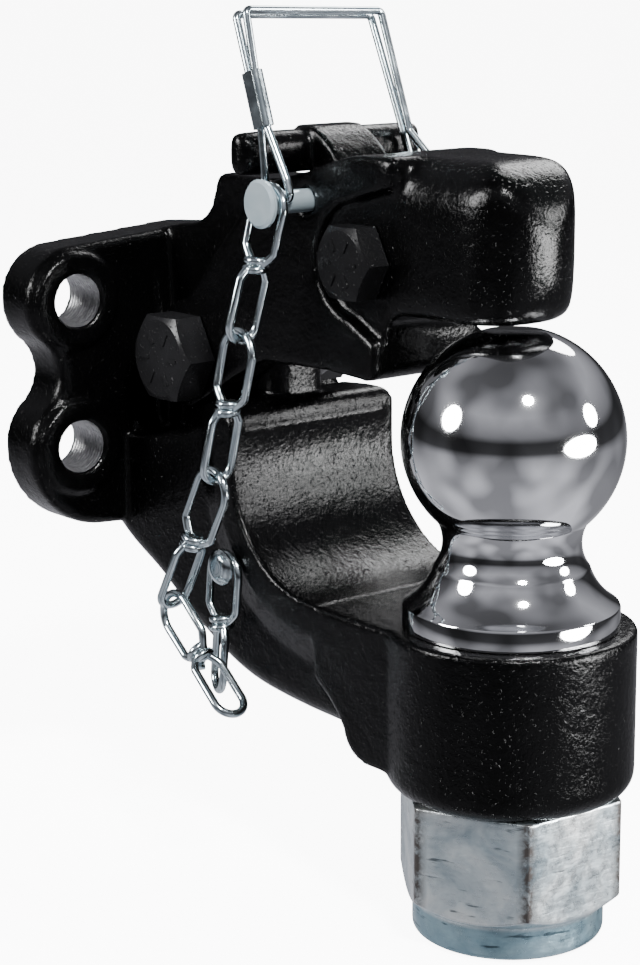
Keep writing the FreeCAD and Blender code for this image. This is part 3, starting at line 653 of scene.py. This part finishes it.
def add_camera():
    """The camera stands to the front left of the ball, slightly above it."""
    data = bpy.data.cameras.new("camera")
    camera = bpy.data.objects.new("camera", data)
    bpy.context.scene.collection.objects.link(camera)
    data.sensor_fit = "VERTICAL"
    data.sensor_height = SENSOR_HEIGHT
    data.lens = LENS
    data.shift_x = SHIFT_X
    data.shift_y = SHIFT_Y
    data.clip_start = CLIP_START
    data.clip_end = CLIP_END
    camera.location = Vector(CAMERA_PLACE) * MM
    azimuth, elevation = math.radians(CAMERA_AZIMUTH), math.radians(CAMERA_ELEVATION)
    camera.rotation_euler = (math.pi / 2 - elevation, 0.0, azimuth)
    bpy.context.scene.camera = camera


def add_floor():
    """A wide floor half a millimetre under the object; it leaves the reflections alone."""
    reach = 30.0
    low = CAD_BOX[0][2] - 0.5 * MM
    mesh = bpy.data.meshes.new("floor")
    work = bmesh.new()
    corners = [work.verts.new((x * reach, y * reach, low))
               for x, y in ((-1, -1), (1, -1), (1, 1), (-1, 1))]
    work.faces.new(corners)
    work.to_mesh(mesh)
    work.free()
    floor = bpy.data.objects.new("floor", mesh)
    bpy.context.scene.collection.objects.link(floor)
    floor.data.materials.append(studio_floor("floor_white"))
    floor.visible_glossy = False
    floor.visible_diffuse = False


def add_area(name, where, target, size, power, size_y=None):
    """A soft oval lamp turned to its target; places and sizes in metres, power in watts."""
    data = bpy.data.lights.new(name, "AREA")
    data.shape = "ELLIPSE"
    data.size = size
    data.size_y = size_y or size
    data.energy = power
    lamp = bpy.data.objects.new(name, data)
    lamp.location = Vector(where)
    lamp.rotation_euler = (Vector(target) - Vector(where)).to_track_quat("-Z", "Y").to_euler()
    bpy.context.scene.collection.objects.link(lamp)


def world_node(tree, kind, **values):
    """A new node in the world's tree."""
    node = tree.nodes.new(kind)
    for key, value in values.items():
        setattr(node, key, value)
    return node


def world_ramp(tree, source, stops):
    """A ramp of slightly bluish greys through stops of (position, brightness)."""
    node = world_node(tree, "ShaderNodeValToRGB")
    while len(node.color_ramp.elements) < len(stops):
        node.color_ramp.elements.new(0.5)
    for element, (at, level) in zip(node.color_ramp.elements, stops):
        element.position = at
        element.color = (level, level, level * 1.04, 1.0)
    tree.links.new(source, node.inputs["Fac"])
    return node.outputs["Color"]


def add_world():
    """A white backdrop to the camera; to reflections a dim room with uneven walls."""
    world = bpy.data.worlds.new("studio")
    world.use_nodes = True
    tree = world.node_tree
    place = world_node(tree, "ShaderNodeTexCoord").outputs["Generated"]
    split = world_node(tree, "ShaderNodeSeparateXYZ")
    tree.links.new(place, split.inputs["Vector"])
    height = world_node(tree, "ShaderNodeMath", operation="MULTIPLY_ADD")
    height.inputs[1].default_value = 0.5
    height.inputs[2].default_value = 0.5
    tree.links.new(split.outputs["Z"], height.inputs[0])
    level = world_ramp(tree, height.outputs[0],
                       [(0.0, 0.62), (0.28, 0.56), (0.41, 0.30), (0.46, 0.04), (0.55, 0.025),
                        (0.60, 0.14), (0.76, 0.32), (1.0, 0.16)])
    patches = world_node(tree, "ShaderNodeTexNoise")
    patches.inputs["Scale"].default_value = 1.3
    patches.inputs["Detail"].default_value = 1.0
    tree.links.new(place, patches.inputs["Vector"])
    uneven = world_ramp(tree, patches.outputs["Fac"],
                        [(0.36, 0.34), (0.50, 0.72), (0.62, 1.0)])
    walls = world_node(tree, "ShaderNodeVectorMath", operation="MULTIPLY")
    tree.links.new(level, walls.inputs[0])
    tree.links.new(uneven, walls.inputs[1])
    room = tree.nodes["Background"]
    tree.links.new(walls.outputs["Vector"], room.inputs["Color"])
    room.inputs["Strength"].default_value = 1.4
    backdrop = world_node(tree, "ShaderNodeBackground")
    backdrop.inputs["Color"].default_value = (1.0, 1.0, 1.0, 1.0)
    backdrop.inputs["Strength"].default_value = WHITE_STRENGTH
    path = world_node(tree, "ShaderNodeLightPath")
    mix = world_node(tree, "ShaderNodeMixShader")
    tree.links.new(path.outputs["Is Camera Ray"], mix.inputs["Fac"])
    tree.links.new(room.outputs[0], mix.inputs[1])
    tree.links.new(backdrop.outputs[0], mix.inputs[2])
    tree.links.new(mix.outputs[0], tree.nodes["World Output"].inputs["Surface"])
    bpy.context.scene.world = world


add_camera()
add_floor()
add_world()
CENTRE = (0.09, 0.0, -0.01)
NUT_SIDE = (0.15, 0.0, -0.11)
add_area("key", (0.95, -0.35, 1.0), CENTRE, size=0.22, power=34.0)
add_area("left", (-0.35, -1.1, 0.45), CENTRE, size=0.5, power=22.0)
add_area("back", (-0.3, 0.9, 0.8), CENTRE, size=0.6, power=9.0)
add_area("right", (0.9, 0.8, 0.35), CENTRE, size=0.35, power=8.0)
add_area("low_right", (1.05, 0.45, -0.04), NUT_SIDE, size=0.7, power=24.0, size_y=0.3)


bpy.context.view_layer.update()
